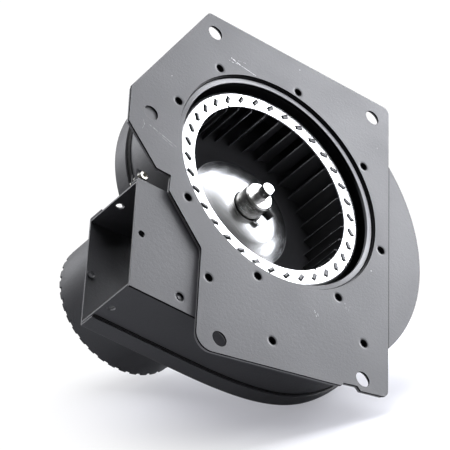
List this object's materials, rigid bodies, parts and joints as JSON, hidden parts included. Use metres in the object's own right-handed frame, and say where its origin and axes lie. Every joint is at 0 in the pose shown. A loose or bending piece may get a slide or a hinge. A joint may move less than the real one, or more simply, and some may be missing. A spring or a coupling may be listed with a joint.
{
  "type": "centrifugal blower",
  "caption": "Motor-driven centrifugal blower: flat mounting plate with round inlet, spiral sheet-metal scroll with rectangular outlet, forward-curved impeller and end-mounted motor.",
  "frame": {"origin": "centre of the inlet opening on the mounting plate's front face", "axes": "+Z along the shaft, out of the inlet; +X along the plate's straight top edge, away from the outlet mouth; +Y up the plate's straight right edge"},
  "size_m": [0.2065, 0.233, 0.1528],
  "materials": {
    "black_powder_coat": "satin, fine texture",
    "black_sealant": "matte",
    "zinc_plated_steel": "bright plated",
    "black_rubber": "matte",
    "bright_galvanised_steel": "bright, spun and pressed",
    "turned_steel": "turned",
    "dark_steel": "black oxide",
    "ground_steel": "ground",
    "sintered_bronze": "porous matte",
    "oil_felt": "dense felt",
    "lamination_steel": "stacked sheet",
    "cast_aluminium": "as cast",
    "enamelled_copper": "varnished wire",
    "fan_plastic": "moulded"
  },
  "bodies": {
    "housing": {"front_bearing": "sintered_bronze", "front_bearing_felt": "oil_felt", "front_bearing_retainer": "dark_steel", "lead_bushing": "black_rubber", "motor_front_shield": "black_powder_coat", "motor_mount_studs": "zinc_plated_steel", "motor_rear_shield": "black_powder_coat", "motor_shell": "black_powder_coat", "motor_through_bolts": "zinc_plated_steel", "mounting_plate": "black_powder_coat", "orifice_plate": "black_powder_coat", "outlet_clamp_nut": "zinc_plated_steel", "outlet_clamp_screw": "zinc_plated_steel", "rear_bearing": "sintered_bronze", "rear_bearing_felt": "oil_felt", "rear_bearing_retainer": "dark_steel", "scroll_front_cover": "black_powder_coat", "scroll_rear_cover": "black_powder_coat", "scroll_seam_seal": "black_sealant", "scroll_wrap": "black_powder_coat", "stator_coils": "enamelled_copper", "stator_core": "lamination_steel", "stud_nuts": "zinc_plated_steel", "stud_spacers": "zinc_plated_steel", "stud_washers": "zinc_plated_steel", "through_bolt_nuts": "zinc_plated_steel", "vibration_grommets": "black_rubber"},
    "rotor": {"motor_shaft": "ground_steel", "rotor_core": "lamination_steel", "rotor_end_rings": "cast_aluminium", "thrust_collars": "turned_steel", "motor_cooling_fan": "fan_plastic", "fan_retaining_clip": "dark_steel", "impeller_front_ring": "bright_galvanised_steel", "impeller_blades": "bright_galvanised_steel", "impeller_back_plate": "bright_galvanised_steel", "impeller_hub": "turned_steel", "hub_set_screw": "dark_steel"}
  },
  "joints": [
    {"name": "rotor_spin", "type": "hinge", "parent": "housing", "child": "rotor", "pos_m": [0, 0, -0.05], "axis": [0, 0, 1], "continuous": true}
  ]
}
